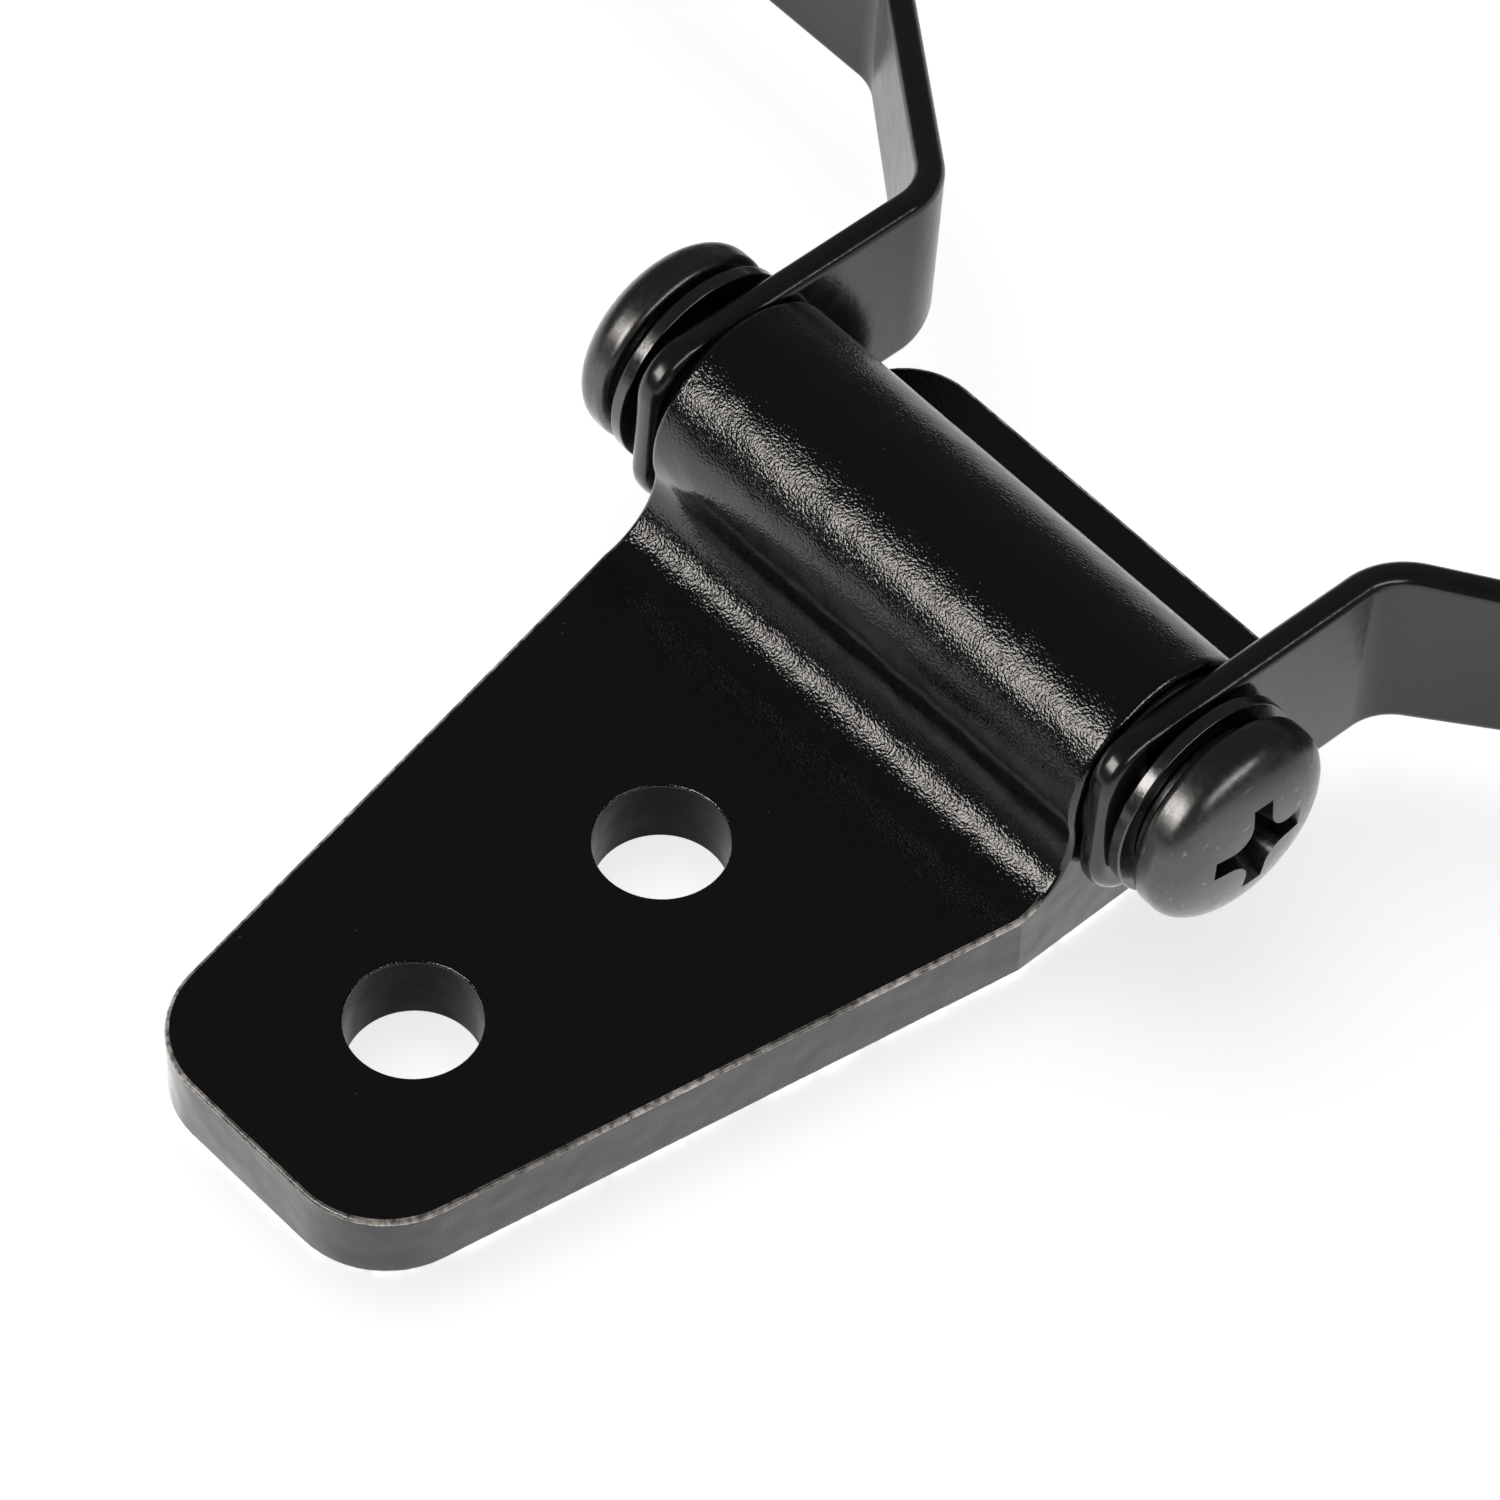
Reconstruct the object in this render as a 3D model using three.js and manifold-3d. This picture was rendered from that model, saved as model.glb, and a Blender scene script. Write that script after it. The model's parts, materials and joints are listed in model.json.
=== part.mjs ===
// A small T hinge for a gate, lid or door.
//
// The strap leaf is one casting: a flat tapered plate with two screw holes and a barrel across its
// rear. Two bent arms sit outside the barrel and carry the crossbar of the T. An internally threaded
// sleeve runs through the barrel in two flanged bushes, and its ends are pressed into the arms and stand
// a little proud of them. A pan-head screw at each end clamps a spring lock washer and a flat washer
// against the sleeve's end, and the flat washer keeps the arm on. The arms, the sleeve and the screws
// therefore turn as one, and the strap leaf turns on the bushes.
//
// Frame, in millimetres: X runs along the pivot, Y points from the strap to the crossbar, and Z is up.
// The origin is on the underside of the strap leaf, straight below the middle of the pivot.

import * as THREE from 'three';
import { mergeVertices } from 'three/addons/utils/BufferGeometryUtils.js';
import Module from 'manifold-3d';

const wasm = await Module();
wasm.setup();

// ---- driving dimensions ----

const PLATE_THICKNESS = 4;
const PLATE_HALF_WIDTH = 14.4;
const TIP_HALF_WIDTH = 8.05;
const TIP_Y = -42.9;
const SHOULDER_Y = -8.4;
const REAR_Y = 11.4;
const TIP_RADIUS = 5;
const REAR_RADIUS = 4;
const EDGE_ROUNDING = 0.35;

const SCREW_HOLE_RADIUS = 3.25;
const SCREW_HOLE_YS = [-17.7, -32.9];

const PIVOT_HEIGHT = 9;
const BARREL_RADIUS = 5.6;
const BARREL_INSET = 0.05;
const FRONT_FILLET = 3.4;
const REAR_FILLET = 1;

const SLEEVE_RADIUS = 3.5;
const SLEEVE_BORE_RADIUS = 2.55;
const SLEEVE_PROUD = 0.55;
const BUSH_RADIUS = 4.2;
const BUSH_DEPTH = 8;
const BUSH_FLANGE_RADIUS = 4.8;
const BUSH_FLANGE_SEAT = 0.4;
const BUSH_FLANGE_PROUD = 0.2;
const RUNNING_GAP = 0.05;
const SEAT_GAP = 0.02;

const ARM_THICKNESS = 1.5;
const ARM_ABOVE_PIVOT = 5;
const ARM_BELOW_PIVOT = 5.5;
const ARM_ROUNDING = 0.3;
const FLANGE_HEIGHT = 8.8;
const ARM_FRONT_Y = -5.3;
const ARM_TOP_CORNER = 2.6;
const ARM_BOTTOM_CORNER = 3;
const ARM_BEND_Y = 11.4;
const ARM_BEND_RADIUS = 3.6;
const ARM_SPLAY = THREE.MathUtils.degToRad(54);
const SPLAY_LENGTH = 12;
const FLANGE_LENGTH = 24;
const FLANGE_END_RADIUS = 3.5;
const FLANGE_HOLE_RADIUS = 2.25;
const FLANGE_HOLE_OFFSETS = [6, 17];
const ARM_REST_DROOP = THREE.MathUtils.degToRad(3);

const FLAT_WASHER_RADIUS = 5.4;
const FLAT_WASHER_THICKNESS = 0.7;
const LOCK_WASHER_RADIUS = 4.4;
const LOCK_WASHER_THICKNESS = 0.6;
const LOCK_WASHER_SPLIT = 0.8;
const LOCK_WASHER_SLANT = THREE.MathUtils.degToRad(25);
const WASHER_BORE_RADIUS = 2.7;

const SCREW_RADIUS = 2.5;
const SCREW_LENGTH = 12;
const SCREW_TIP_CHAMFER = 0.5;
const HEAD_RADIUS = 5.35;
const HEAD_HEIGHT = 3.1;
const HEAD_FOOT_CHAMFER = 0.3;
const HEAD_RIM = 1;
const DOME_RISE_POWER = 0.9;
const DOME_SIDE_POWER = 0.8;
const RECESS_SPAN = 5.6;
const RECESS_WIDTH = 1;
const RECESS_DEPTH = 2.2;
const RECESS_FLOOR_SHARE = 0.6;
const RECESS_TURN = THREE.MathUtils.degToRad(-1);

// ---- distances along the pivot, outward from the middle ----

const BARREL_END = PLATE_HALF_WIDTH - BARREL_INSET;
const BUSH_INNER = BARREL_END - BUSH_DEPTH;
const BUSH_SEAT = BARREL_END - BUSH_FLANGE_SEAT;
const BUSH_OUTER = BARREL_END + BUSH_FLANGE_PROUD;
const ARM_INNER = BUSH_OUTER + RUNNING_GAP;
const ARM_OUTER = ARM_INNER + ARM_THICKNESS;
const SLEEVE_END = ARM_OUTER + SLEEVE_PROUD;
const FLAT_WASHER_OUTER = SLEEVE_END + FLAT_WASHER_THICKNESS;
const HEAD_SEAT = FLAT_WASHER_OUTER + LOCK_WASHER_THICKNESS;
const SCREW_TIP = HEAD_SEAT - SCREW_LENGTH;

const ROUND_SEGMENTS = 48;
const CORNER_STEPS = 8;
const DOME_STEPS = 10;

// How far a cutting solid stands outside what it cuts.
const CUT_MARGIN = 2;

// The shortest edge that is kept where many rounded faces meet.
const SHORTEST_EDGE = 0.01;

// ---- materials ----

const powderCoat = new THREE.MeshStandardMaterial({ color: 0x131313, roughness: 0.45, metalness: 0.1 });
const blackSteel = new THREE.MeshStandardMaterial({ color: 0x26272a, roughness: 0.38, metalness: 0.8 });
const blackNylon = new THREE.MeshStandardMaterial({ color: 0x0c0c0c, roughness: 0.6, metalness: 0 });

// ---- solids ----

function solid(geometry) {
  const bare = geometry.clone();
  bare.deleteAttribute('normal');
  bare.deleteAttribute('uv');
  const merged = mergeVertices(bare, 1e-4);
  return new wasm.Manifold(new wasm.Mesh({
    numProp: 3,
    vertProperties: merged.attributes.position.array,
    triVerts: new Uint32Array(merged.index.array),
  }));
}

function geometryOf(manifold) {
  const mesh = manifold.getMesh();
  const geometry = new THREE.BufferGeometry();
  geometry.setAttribute('position', new THREE.BufferAttribute(mesh.vertProperties, 3));
  geometry.setIndex(new THREE.BufferAttribute(mesh.triVerts, 1));
  geometry.computeVertexNormals();
  return geometry;
}

// Turns a shape drawn in the (Y, Z) plane and pushed along its own normal so that it runs along X.
function alongX(geometry) {
  const y = new THREE.Vector3(0, 1, 0);
  const z = new THREE.Vector3(0, 0, 1);
  const x = new THREE.Vector3(1, 0, 0);
  return geometry.applyMatrix4(new THREE.Matrix4().makeBasis(y, z, x));
}

// Revolves [distance along X, radius] points about the X axis.
function turned(points) {
  const profile = points.map(([along, radius]) => new THREE.Vector2(radius, along));
  return new THREE.LatheGeometry(profile, ROUND_SEGMENTS).rotateZ(-Math.PI / 2);
}

function rodX(radius, from, to) {
  return turned([[from, 0], [from, radius], [to, radius], [to, 0]]);
}

function ringX(bore, radius, from, to) {
  return turned([[from, bore], [from, radius], [to, radius], [to, bore], [from, bore]]);
}

function rodZ(radius, x, y, from, to) {
  const rod = new THREE.CylinderGeometry(radius, radius, to - from, ROUND_SEGMENTS);
  return rod.rotateX(Math.PI / 2).translate(x, y, (from + to) / 2);
}

function rodY(radius, x, z, from, to) {
  const rod = new THREE.CylinderGeometry(radius, radius, to - from, ROUND_SEGMENTS);
  return rod.translate(x, (from + to) / 2, z);
}

// Draws a closed counter-clockwise outline and rounds each [x, y, radius] corner with a true arc.
function roundedShape(corners) {
  const points = [];
  corners.forEach(([x, y, radius], i) => {
    const [beforeX, beforeY] = corners[(i + corners.length - 1) % corners.length];
    const [afterX, afterY] = corners[(i + 1) % corners.length];
    const corner = new THREE.Vector2(x, y);
    const back = new THREE.Vector2(beforeX, beforeY).sub(corner).normalize();
    const ahead = new THREE.Vector2(afterX, afterY).sub(corner).normalize();
    const halfAngle = Math.acos(back.dot(ahead)) / 2;
    if (radius === 0) {
      points.push(corner);
      return;
    }
    const middle = back.clone().add(ahead).normalize();
    const center = corner.clone().addScaledVector(middle, radius / Math.sin(halfAngle));
    const start = corner.clone().addScaledVector(back, radius / Math.tan(halfAngle)).sub(center);
    const turn = (Math.PI - 2 * halfAngle) * Math.sign(ahead.cross(back));
    for (let step = 0; step <= CORNER_STEPS; step += 1) {
      const origin = new THREE.Vector2(0, 0);
      points.push(start.clone().rotateAround(origin, (turn * step) / CORNER_STEPS).add(center));
    }
  });
  return new THREE.Shape(points);
}

// Pushes a shape from z = 0 to z = depth and rounds the edges of both faces.
function softExtrude(shape, depth, rounding) {
  const geometry = new THREE.ExtrudeGeometry(shape, {
    depth: depth - 2 * rounding,
    bevelThickness: rounding,
    bevelSize: rounding,
    bevelOffset: -rounding,
    bevelSegments: 2,
    steps: 1,
  });
  return geometry.translate(0, 0, rounding);
}

// ---- strap leaf ----

// The plate seen from above, with its two long sides moved in by an inset.
function plateOutline(inset) {
  const tip = TIP_HALF_WIDTH - inset;
  const wide = PLATE_HALF_WIDTH - inset;
  return roundedShape([
    [-tip, TIP_Y, TIP_RADIUS],
    [tip, TIP_Y, TIP_RADIUS],
    [wide, SHOULDER_Y, 0],
    [wide, REAR_Y, REAR_RADIUS],
    [-wide, REAR_Y, REAR_RADIUS],
    [-wide, SHOULDER_Y, 0],
  ]);
}

// A fillet touches the plate's top and the barrel: its centre is one fillet radius above the plate
// and one fillet radius outside the barrel.
function filletCenterY(fillet) {
  const rise = PIVOT_HEIGHT - PLATE_THICKNESS - fillet;
  return Math.sqrt((BARREL_RADIUS + fillet) ** 2 - rise ** 2);
}

// The side view of the barrel with its two fillets, down to the middle of the plate.
function barrelOutline() {
  const root = PLATE_THICKNESS / 2;
  const frontY = -filletCenterY(FRONT_FILLET);
  const rearY = filletCenterY(REAR_FILLET);
  const frontTouch = Math.atan2(PIVOT_HEIGHT - PLATE_THICKNESS - FRONT_FILLET, -frontY);
  const rearTouch = Math.atan2(PIVOT_HEIGHT - PLATE_THICKNESS - REAR_FILLET, rearY);
  const shape = new THREE.Shape();
  shape.moveTo(frontY, root);
  shape.lineTo(rearY, root);
  shape.lineTo(rearY, PLATE_THICKNESS);
  shape.absarc(rearY, PLATE_THICKNESS + REAR_FILLET, REAR_FILLET, -Math.PI / 2, Math.PI - rearTouch, true);
  shape.absarc(0, PIVOT_HEIGHT, BARREL_RADIUS, -rearTouch, Math.PI + frontTouch, false);
  shape.absarc(frontY, PLATE_THICKNESS + FRONT_FILLET, FRONT_FILLET, frontTouch, -Math.PI / 2, true);
  return shape;
}

function strapLeaf() {
  const plate = solid(softExtrude(plateOutline(0), PLATE_THICKNESS, EDGE_ROUNDING));
  const barrelBar = softExtrude(barrelOutline(), 2 * BARREL_END, EDGE_ROUNDING);
  const overPlate = new THREE.ExtrudeGeometry(plateOutline(BARREL_INSET), {
    depth: PIVOT_HEIGHT + BARREL_RADIUS + CUT_MARGIN,
    bevelEnabled: false,
  });
  const barrel = solid(alongX(barrelBar.translate(0, 0, -BARREL_END))).intersect(solid(overPlate));
  const cutEnd = BARREL_END + CUT_MARGIN;
  const bores = [
    rodX(BUSH_RADIUS + SEAT_GAP, -cutEnd, cutEnd),
    rodX(BUSH_FLANGE_RADIUS + SEAT_GAP, BUSH_SEAT, cutEnd),
    rodX(BUSH_FLANGE_RADIUS + SEAT_GAP, -cutEnd, -BUSH_SEAT),
  ];
  let leaf = plate.add(barrel);
  for (const bore of bores) {
    leaf = leaf.subtract(solid(bore.translate(0, 0, PIVOT_HEIGHT)));
  }
  for (const y of SCREW_HOLE_YS) {
    leaf = leaf.subtract(solid(rodZ(SCREW_HOLE_RADIUS, 0, y, -CUT_MARGIN, PLATE_THICKNESS + CUT_MARGIN)));
  }
  return geometryOf(leaf.simplify(SHORTEST_EDGE));
}

// ---- pivot pieces, built about the X axis on the right-hand side ----

function sleeve() {
  return ringX(SLEEVE_BORE_RADIUS, SLEEVE_RADIUS, -SLEEVE_END, SLEEVE_END);
}

function bush() {
  const bore = SLEEVE_RADIUS + RUNNING_GAP;
  return turned([
    [BUSH_INNER, bore],
    [BUSH_INNER, BUSH_RADIUS],
    [BUSH_SEAT, BUSH_RADIUS],
    [BUSH_SEAT, BUSH_FLANGE_RADIUS],
    [BUSH_OUTER, BUSH_FLANGE_RADIUS],
    [BUSH_OUTER, bore],
    [BUSH_INNER, bore],
  ]);
}

function flatWasher() {
  return ringX(WASHER_BORE_RADIUS, FLAT_WASHER_RADIUS, SLEEVE_END, FLAT_WASHER_OUTER);
}

function lockWasher() {
  const ring = solid(ringX(WASHER_BORE_RADIUS, LOCK_WASHER_RADIUS, FLAT_WASHER_OUTER, HEAD_SEAT));
  const slit = new THREE.BoxGeometry(2 * LOCK_WASHER_THICKNESS, LOCK_WASHER_SPLIT, LOCK_WASHER_RADIUS);
  slit.rotateZ(LOCK_WASHER_SLANT);
  slit.translate((FLAT_WASHER_OUTER + HEAD_SEAT) / 2, 0, LOCK_WASHER_RADIUS);
  return geometryOf(ring.subtract(solid(slit)));
}

// The cross recess is two slots. Each is a square frustum stretched to a slot: it has its full size at
// the top of the head and stands as far above it as it reaches below.
function recessSlot(turn) {
  const floor = Math.SQRT1_2 * RECESS_FLOOR_SHARE;
  const above = Math.SQRT1_2 * (2 - RECESS_FLOOR_SHARE);
  const slot = new THREE.CylinderGeometry(above, floor, 2 * RECESS_DEPTH, 4);
  slot.rotateY(Math.PI / 4);
  slot.scale(RECESS_WIDTH, 1, RECESS_SPAN);
  slot.rotateZ(-Math.PI / 2);
  return slot.rotateX(turn).translate(HEAD_SEAT + HEAD_HEIGHT, 0, 0);
}

function pivotScrew() {
  const profile = [
    [SCREW_TIP, 0],
    [SCREW_TIP, SCREW_RADIUS - SCREW_TIP_CHAMFER],
    [SCREW_TIP + SCREW_TIP_CHAMFER, SCREW_RADIUS],
    [HEAD_SEAT, SCREW_RADIUS],
    [HEAD_SEAT, HEAD_RADIUS - HEAD_FOOT_CHAMFER],
    [HEAD_SEAT + HEAD_FOOT_CHAMFER, HEAD_RADIUS],
  ];
  for (let step = 0; step < DOME_STEPS; step += 1) {
    const angle = (Math.PI / 2) * (step / DOME_STEPS);
    const rise = (HEAD_HEIGHT - HEAD_RIM) * Math.sin(angle) ** DOME_RISE_POWER;
    profile.push([HEAD_SEAT + HEAD_RIM + rise, HEAD_RADIUS * Math.cos(angle) ** DOME_SIDE_POWER]);
  }
  profile.push([HEAD_SEAT + HEAD_HEIGHT, 0]);
  let screw = solid(turned(profile));
  for (const turn of [RECESS_TURN, RECESS_TURN + Math.PI / 2]) {
    screw = screw.subtract(solid(recessSlot(turn)));
  }
  return geometryOf(screw);
}

// ---- arms ----

// The arm's flat bar seen from above: it runs back past the barrel, bends outward, and bends again so
// that its flange lies along X. The outline follows the middle of the bar at half a thickness each side.
function armOutline() {
  const half = ARM_THICKNESS / 2;
  const left = [];
  const right = [];
  const place = new THREE.Vector2(ARM_INNER + half, ARM_FRONT_Y);
  let heading = Math.PI / 2;
  const mark = () => {
    const side = new THREE.Vector2(-Math.sin(heading), Math.cos(heading));
    left.push(place.clone().addScaledVector(side, half));
    right.push(place.clone().addScaledVector(side, -half));
  };
  const forward = (length) => {
    place.add(new THREE.Vector2(Math.cos(heading), Math.sin(heading)).multiplyScalar(length));
    mark();
  };
  const bend = (angle) => {
    const chord = 2 * ARM_BEND_RADIUS * Math.sin(angle / CORNER_STEPS / 2);
    for (let step = 0; step < CORNER_STEPS; step += 1) {
      heading -= angle / CORNER_STEPS / 2;
      place.add(new THREE.Vector2(Math.cos(heading), Math.sin(heading)).multiplyScalar(chord));
      heading -= angle / CORNER_STEPS / 2;
      mark();
    }
  };
  mark();
  forward(ARM_BEND_Y - ARM_FRONT_Y);
  bend(ARM_SPLAY);
  forward(SPLAY_LENGTH);
  bend(Math.PI / 2 - ARM_SPLAY);
  const flange = place.clone();
  forward(FLANGE_LENGTH);
  return { shape: new THREE.Shape([...right, ...left.reverse()]), flange };
}

// Narrows the bar from its full height at the first bend to the flange's height at the second.
function narrowed(bar, flangeFaceY) {
  const position = bar.attributes.position;
  for (let i = 0; i < position.count; i += 1) {
    const along = (position.getY(i) - ARM_BEND_Y) / (flangeFaceY - ARM_BEND_Y);
    const share = THREE.MathUtils.clamp(along, 0, 1);
    const z = position.getZ(i);
    const reach = z > 0 ? ARM_ABOVE_PIVOT : ARM_BELOW_PIVOT;
    position.setZ(i, z * THREE.MathUtils.lerp(1, FLANGE_HEIGHT / 2 / reach, share));
  }
  return bar;
}

// One arm on the right-hand side, with the pivot at y = 0, z = 0.
function armSolid() {
  const { shape, flange } = armOutline();
  const bar = softExtrude(shape, ARM_ABOVE_PIVOT + ARM_BELOW_PIVOT, ARM_ROUNDING);
  narrowed(bar.translate(0, 0, -ARM_BELOW_PIVOT), flange.y - ARM_THICKNESS / 2);
  const far = flange.x + FLANGE_LENGTH;
  const deep = flange.y + ARM_THICKNESS + CUT_MARGIN;
  const sideView = roundedShape([
    [ARM_FRONT_Y, -ARM_BELOW_PIVOT, ARM_BOTTOM_CORNER],
    [deep, -ARM_BELOW_PIVOT, 0],
    [deep, ARM_ABOVE_PIVOT, 0],
    [ARM_FRONT_Y, ARM_ABOVE_PIVOT, ARM_TOP_CORNER],
  ]);
  const rearView = roundedShape([
    [0, -ARM_BELOW_PIVOT, 0],
    [flange.x, -ARM_BELOW_PIVOT, 0],
    [flange.x, -FLANGE_HEIGHT / 2, 0],
    [far, -FLANGE_HEIGHT / 2, FLANGE_END_RADIUS],
    [far, FLANGE_HEIGHT / 2, FLANGE_END_RADIUS],
    [flange.x, FLANGE_HEIGHT / 2, 0],
    [flange.x, ARM_ABOVE_PIVOT, 0],
    [0, ARM_ABOVE_PIVOT, 0],
  ]);
  const sideCut = new THREE.ExtrudeGeometry(sideView, { depth: far + CUT_MARGIN, bevelEnabled: false });
  const cutLength = deep - ARM_FRONT_Y + CUT_MARGIN;
  const rearCut = new THREE.ExtrudeGeometry(rearView, { depth: cutLength, bevelEnabled: false });
  rearCut.rotateX(Math.PI / 2).translate(0, deep, 0);
  let arm = solid(bar).intersect(solid(alongX(sideCut))).intersect(solid(rearCut));
  const pivotHole = rodX(SLEEVE_RADIUS + SEAT_GAP, ARM_INNER - CUT_MARGIN, ARM_OUTER + CUT_MARGIN);
  arm = arm.subtract(solid(pivotHole));
  for (const offset of FLANGE_HOLE_OFFSETS) {
    const x = flange.x + offset;
    const hole = rodY(FLANGE_HOLE_RADIUS, x, 0, flange.y - CUT_MARGIN, flange.y + CUT_MARGIN);
    arm = arm.subtract(solid(hole));
  }
  return arm;
}

// ---- assembly ----

function piece(name, geometry, material) {
  const mesh = new THREE.Mesh(geometry, material);
  mesh.name = name;
  return mesh;
}

// The same piece at the left-hand end, turned half way round the Z axis.
function leftHand(geometry) {
  return geometry.clone().rotateZ(Math.PI);
}

const hinge = new THREE.Group();
hinge.add(piece('strap_leaf', strapLeaf(), powderCoat));

const strapBushes = new THREE.Group();
strapBushes.position.z = PIVOT_HEIGHT;
strapBushes.add(piece('right_bush', bush(), blackNylon));
strapBushes.add(piece('left_bush', leftHand(bush()), blackNylon));
hinge.add(strapBushes);

const crossbar = new THREE.Group();
crossbar.position.z = PIVOT_HEIGHT;
crossbar.rotation.x = -ARM_REST_DROOP;
const arm = armSolid();
crossbar.add(piece('right_arm', geometryOf(arm), powderCoat));
crossbar.add(piece('left_arm', geometryOf(arm.mirror([1, 0, 0])), powderCoat));
crossbar.add(piece('pivot_sleeve', sleeve(), blackSteel));
const stack = [
  ['flat_washer', flatWasher()],
  ['lock_washer', lockWasher()],
  ['pivot_screw', pivotScrew()],
];
for (const [name, geometry] of stack) {
  crossbar.add(piece(`right_${name}`, geometry, blackSteel));
  crossbar.add(piece(`left_${name}`, leftHand(geometry), blackSteel));
}
hinge.add(crossbar);

export default hinge;
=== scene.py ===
import json
import math

import bmesh
import bpy
from mathutils import Matrix, Vector


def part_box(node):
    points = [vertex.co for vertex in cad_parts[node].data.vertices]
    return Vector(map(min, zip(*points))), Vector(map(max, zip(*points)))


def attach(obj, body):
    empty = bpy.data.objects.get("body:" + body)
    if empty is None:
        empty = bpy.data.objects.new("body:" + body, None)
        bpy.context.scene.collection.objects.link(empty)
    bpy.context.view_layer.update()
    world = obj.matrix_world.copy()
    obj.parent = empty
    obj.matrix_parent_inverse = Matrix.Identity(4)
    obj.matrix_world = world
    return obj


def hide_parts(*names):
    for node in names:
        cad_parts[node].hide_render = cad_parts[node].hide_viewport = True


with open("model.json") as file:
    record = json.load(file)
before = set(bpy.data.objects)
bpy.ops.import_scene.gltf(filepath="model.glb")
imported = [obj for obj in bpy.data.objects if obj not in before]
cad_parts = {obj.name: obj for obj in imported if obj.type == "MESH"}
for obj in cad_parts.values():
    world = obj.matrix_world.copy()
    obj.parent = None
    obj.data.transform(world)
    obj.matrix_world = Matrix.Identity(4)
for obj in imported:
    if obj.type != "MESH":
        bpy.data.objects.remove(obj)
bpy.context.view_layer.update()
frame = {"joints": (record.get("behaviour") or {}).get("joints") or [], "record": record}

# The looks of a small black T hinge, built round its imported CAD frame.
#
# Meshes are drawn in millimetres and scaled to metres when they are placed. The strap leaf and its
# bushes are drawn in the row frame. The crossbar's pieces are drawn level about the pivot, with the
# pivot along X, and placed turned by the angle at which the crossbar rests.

MM = 0.001


def box_mm(node):
    low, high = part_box(node)
    return low / MM, high / MM


# ---- sizes taken from the frame, in millimetres ----

PIVOT = Vector(frame["joints"][0]["pos_m"]) / MM
# the crossbar rests with its flanges hanging by this angle, which their mount's axis shows
FLANGE_MOUNT = next(m for m in frame["record"]["mounts"] if m["name"] == "right_flange_back")
REST_DROOP = math.asin(-FLANGE_MOUNT["axis"][2])

STRAP_LOW, STRAP_HIGH = box_mm("strap_leaf")
HALF_WIDTH = STRAP_HIGH.x
BARREL_RADIUS = STRAP_HIGH.z - PIVOT.z
ARM_INNER = box_mm("right_arm")[0].x
SLEEVE_END = box_mm("pivot_sleeve")[1].x
FLAT_WASHER_OUTER = box_mm("right_flat_washer")[1].x
HEAD_SEAT = box_mm("right_lock_washer")[1].x
SCREW_LOW, SCREW_HIGH = box_mm("right_pivot_screw")
HEAD_RADIUS = SCREW_HIGH.y
HEAD_TOP = SCREW_HIGH.x
BUSH_INNER = box_mm("right_bush")[0].x
BUSH_OUTER = box_mm("right_bush")[1].x

# ---- sizes that the boxes don't tell, in millimetres ----

PLATE_THICKNESS = 4.0
TIP_HALF_WIDTH = 8.05
SHOULDER_Y = -8.4
TIP_RADIUS = 5.0
SHOULDER_RADIUS = 0.5
REAR_RADIUS = 4.0
SCREW_HOLE_RADIUS = 3.25
SCREW_HOLE_YS = (-17.7, -32.9)
FRONT_FILLET = 3.4
REAR_FILLET = 1.0
CAST_EDGE = 0.22
BARREL_EDGE = 0.4
HOLE_EDGE = 0.14

SLEEVE_RADIUS = 3.5
SLEEVE_BORE_RADIUS = 2.55
SLEEVE_BORE_EDGE = 0.2
SLEEVE_EDGE = 0.15
BUSH_RADIUS = 4.2
BUSH_FLANGE = 0.6
BUSH_FLANGE_RADIUS = 4.8
BUSH_BORE_EDGE = 0.1
BUSH_FLANGE_EDGE = 0.12
BUSH_NOSE_EDGE = 0.15
RUNNING_GAP = 0.05
SEAT_GAP = 0.02

ARM_THICKNESS = 1.5
ARM_ABOVE_PIVOT = 5.0
ARM_BELOW_PIVOT = 5.5
FLANGE_HEIGHT = 8.8
ARM_FRONT_Y = -5.3
ARM_TOP_CORNER = 2.6
ARM_BOTTOM_CORNER = 3.0
ARM_BEND_Y = 11.4
ARM_BEND_RADIUS = 3.6
ARM_SPLAY = math.radians(54)
SPLAY_LENGTH = 12.0
FLANGE_LENGTH = 24.0
FLANGE_END_RADIUS = 3.5
FLANGE_HOLE_RADIUS = 2.25
FLANGE_HOLE_OFFSETS = (6.0, 17.0)
ARM_EDGE = 0.6

WASHER_BORE_RADIUS = 2.7
WASHER_EDGE = 0.1
LOCK_WASHER_RADIUS = 4.4
LOCK_WASHER_EDGE = 0.12
LOCK_WASHER_SPLIT = math.radians(10)
LOCK_WASHER_SPLIT_AT = math.radians(65)
FLAT_WASHER_RADIUS = 5.4

SHANK_RADIUS = 2.5
SHANK_CHAMFER = 0.5
HEAD_RIM = 1.0
HEAD_FOOT = 0.5
DOME_RISE_POWER = 0.9
DOME_SIDE_POWER = 0.8
DOME_STEPS = 24
RECESS_SPAN = 5.6
RECESS_WIDTH = 1.2
RECESS_THROAT = 1.15
RECESS_DEPTH = 2.2
RECESS_CONE = 0.4
RECESS_TAPER = math.radians(32)
RECESS_NARROWING = 0.12
RECESS_TURN = -0.02

# steps round a full circle, and round one corner
FINE = 128
ARC_STEPS = 12


# ---- mesh tools ----


def new_object(name, vertices, faces):
    mesh = bpy.data.meshes.new(name)
    mesh.from_pydata([tuple(v) for v in vertices], [], faces)
    build = bmesh.new()
    build.from_mesh(mesh)
    bmesh.ops.recalc_face_normals(build, faces=build.faces)
    build.to_mesh(mesh)
    build.free()
    obj = bpy.data.objects.new(name, mesh)
    bpy.context.scene.collection.objects.link(obj)
    return obj


def apply_modifiers(obj):
    """Makes what obj's modifiers do a lasting part of its mesh."""
    graph = bpy.context.evaluated_depsgraph_get()
    mesh = bpy.data.meshes.new_from_object(obj.evaluated_get(graph))
    obj.modifiers.clear()
    obj.data = mesh
    return obj


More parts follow.
